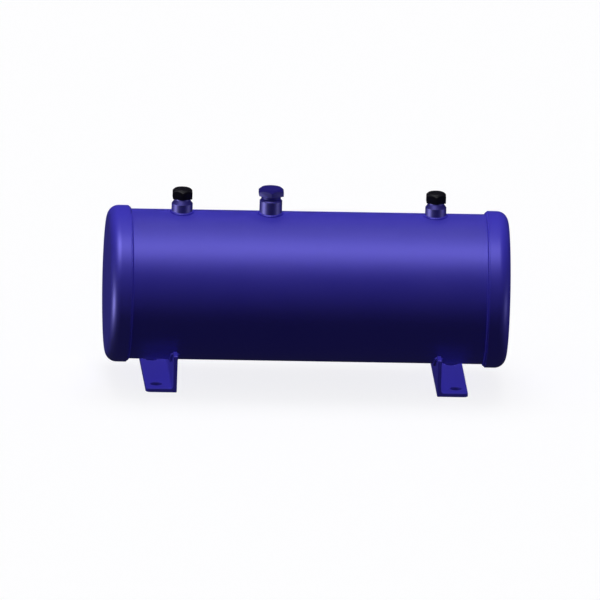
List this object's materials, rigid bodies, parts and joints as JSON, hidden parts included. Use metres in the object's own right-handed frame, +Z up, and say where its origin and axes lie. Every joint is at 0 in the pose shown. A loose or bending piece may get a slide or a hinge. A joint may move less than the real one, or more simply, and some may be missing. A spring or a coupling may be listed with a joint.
{
  "type": "horizontal liquid receiver",
  "caption": "Horizontal painted steel liquid receiver: a tube with slip-on dished heads, capped threaded stubs and a hexagonal plug along its top, and drilled angle feet.",
  "frame": {"origin": "middle of the four foot bolts, on the plane that the feet stand on", "axes": "+X along the vessel from its inlet end to its outlet end, +Z up, so +Y points away from the viewer of the picture"},
  "size_m": [0.4296, 0.166, 0.2075],
  "materials": {
    "vessel_enamel": "gloss indigo blue enamel over welded steel",
    "fitting_enamel": "the same enamel, thinner and darker over the turned steel fittings",
    "black_caps": "black moulded nylon with a low sheen",
    "seal_rubber": "black sealing disc",
    "bare_steel": "plain drawn steel tube",
    "copper_washer": "soft copper washer, painted over at its edge"
  },
  "bodies": {
    "root": {"shell": "vessel_enamel", "left_head": "vessel_enamel", "right_head": "vessel_enamel", "left_head_weld": "vessel_enamel", "right_head_weld": "vessel_enamel", "inlet_stub": "fitting_enamel", "inlet_stub_weld": "vessel_enamel", "inlet_cap": "black_caps", "inlet_cap_seal": "seal_rubber", "outlet_stub": "fitting_enamel", "outlet_stub_weld": "vessel_enamel", "outlet_cap": "black_caps", "outlet_cap_seal": "seal_rubber", "outlet_dip_tube": "bare_steel", "relief_boss": "fitting_enamel", "relief_boss_weld": "vessel_enamel", "relief_plug": "fitting_enamel", "relief_plug_seal": "copper_washer", "left_foot": "vessel_enamel", "right_foot": "vessel_enamel", "left_foot_outer_weld": "vessel_enamel", "left_foot_inner_weld": "vessel_enamel", "right_foot_outer_weld": "vessel_enamel", "right_foot_inner_weld": "vessel_enamel"}
  },
  "joints": []
}
